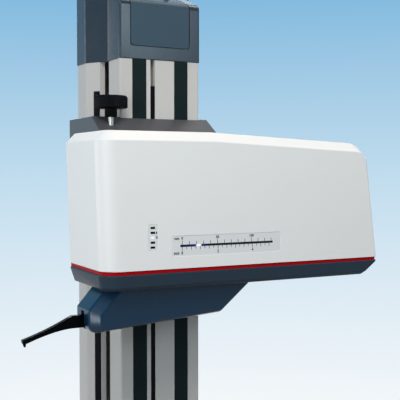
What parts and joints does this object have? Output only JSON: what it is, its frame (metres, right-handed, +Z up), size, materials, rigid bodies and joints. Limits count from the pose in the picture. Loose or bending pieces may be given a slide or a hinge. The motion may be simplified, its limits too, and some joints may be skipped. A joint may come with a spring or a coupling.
{
  "type": "surface roughness tester",
  "caption": "Surface roughness tester: a wedge-ended drive unit with a lit position scale carries a tapered stylus arm on a probe below it and rides up and down a motorised column.",
  "frame": {"origin": "on the floor under the column's axis, at the centre of the foot's bolt pattern", "axes": "+Z up along the column, -Y towards the front of the drive unit, +X along the traverse away from the stylus tip"},
  "size_m": [0.4948, 0.324, 0.8261],
  "materials": {
    "foot_iron": "hammered dark paint on a casting",
    "steel": "bright turned steel",
    "column_alu": "clear anodised extrusion",
    "guide_black": "black oxide steel",
    "rubber_black": "matte black rubber",
    "machined_alu": "machined aluminium",
    "motor_black": "black coated motor",
    "cap_slate": "slate-blue fine texture",
    "panel_slate": "slate-blue smooth panel",
    "brass": "turned brass",
    "shoe_polymer": "bearing polymer",
    "shroud_grey": "dark grey fine texture",
    "cover_white": "white fine-textured enamel",
    "trim_red": "red trim",
    "base_slate": "slate-grey enamel on a casting",
    "window_grey": "light grey foil",
    "board_green": "printed circuit board",
    "socket_metal": "plated socket shell",
    "beam_ceramic": "ground black ceramic",
    "brush_black": "black brush",
    "probe_slate": "slate-blue enamel",
    "glass": "clear glass",
    "arm_black": "black anodised",
    "knob_black": "black moulded plastic"
  },
  "bodies": {
    "stand": {"column_foot": "foot_iron", "column_screws": "steel", "column_profile": "column_alu", "guideway_left": "guide_black", "guideway_right": "guide_black", "slot_filler": "rubber_black", "sealing_lip": "rubber_black", "lower_bearing": "steel", "motor_plate": "machined_alu", "upper_bearing": "steel", "lift_motor": "motor_black", "top_cap": "cap_slate", "cap_panel": "panel_slate", "cap_screws": "steel"},
    "lift_spindle": {"lift_screw": "steel"},
    "carriage": {"carriage_saddle": "machined_alu", "slide_shoes": "shoe_polymer", "cheek_left": "machined_alu", "cheek_right": "machined_alu", "lift_nut": "brass", "clamp_block": "machined_alu", "carriage_shroud": "shroud_grey", "unit_bolts": "steel", "unit_back": "machined_alu", "unit_base": "base_slate", "trim_line": "trim_red", "housing_cover": "cover_white", "scale_window": "window_grey", "level_window": "window_grey", "led_board": "board_green", "control_board": "board_green", "cable_socket": "socket_metal", "guide_beam": "beam_ceramic", "beam_supports": "machined_alu", "screw_supports": "machined_alu", "screw_bearings": "steel", "motor_bracket": "machined_alu", "traverse_motor": "motor_black", "slot_brushes": "brush_black"},
    "traverse_spindle": {"traverse_screw": "steel", "motor_coupling": "machined_alu", "motor_shaft": "steel"},
    "probe": {"traverse_slide": "machined_alu", "slide_pads": "shoe_polymer", "traverse_nut": "brass", "probe_plate": "machined_alu", "probe_screws": "steel", "probe_housing": "probe_slate", "pivot_yoke": "machined_alu", "pivot_bearings": "steel", "read_head": "motor_black"},
    "stylus_lever": {"arm_holder": "machined_alu", "pivot_pin": "steel", "counterweight": "brass", "angle_scale": "glass", "probe_arm": "arm_black", "stylus_tip": "arm_black"},
    "knob": {"clamp_knob": "knob_black", "clamp_stud": "steel"}
  },
  "joints": [
    {"name": "carriage_lift", "type": "slide", "parent": "stand", "child": "carriage", "axis": [0, 0, 1], "range_m": [-0.31, 0.05]},
    {"name": "lift_screw_spin", "type": "hinge", "parent": "stand", "child": "lift_spindle", "pos_m": [0, -0.0086, 0.1], "axis": [0, 0, 1], "continuous": true},
    {"name": "probe_traverse", "type": "slide", "parent": "carriage", "child": "probe", "axis": [1, 0, 0], "range_m": [-0.023, 0.107]},
    {"name": "traverse_screw_spin", "type": "hinge", "parent": "carriage", "child": "traverse_spindle", "pos_m": [0, -0.1249, 0.4498], "axis": [1, 0, 0], "continuous": true},
    {"name": "probe_arm_pivot", "type": "hinge", "parent": "probe", "child": "stylus_lever", "pos_m": [-0.087, -0.16, 0.369], "axis": [0, 1, 0], "range_deg": [-3, 3]},
    {"name": "clamp_knob_turn", "type": "hinge", "parent": "carriage", "child": "knob", "pos_m": [-0.0815, -0.07305, 0.62], "axis": [0, 0, 1], "range_deg": [-180, 180]}
  ],
  "couplings": [
    {"joint": "lift_screw_spin", "follows": "carriage_lift", "rad_per_m": 628.32},
    {"joint": "traverse_screw_spin", "follows": "probe_traverse", "rad_per_m": 1256.6}
  ]
}
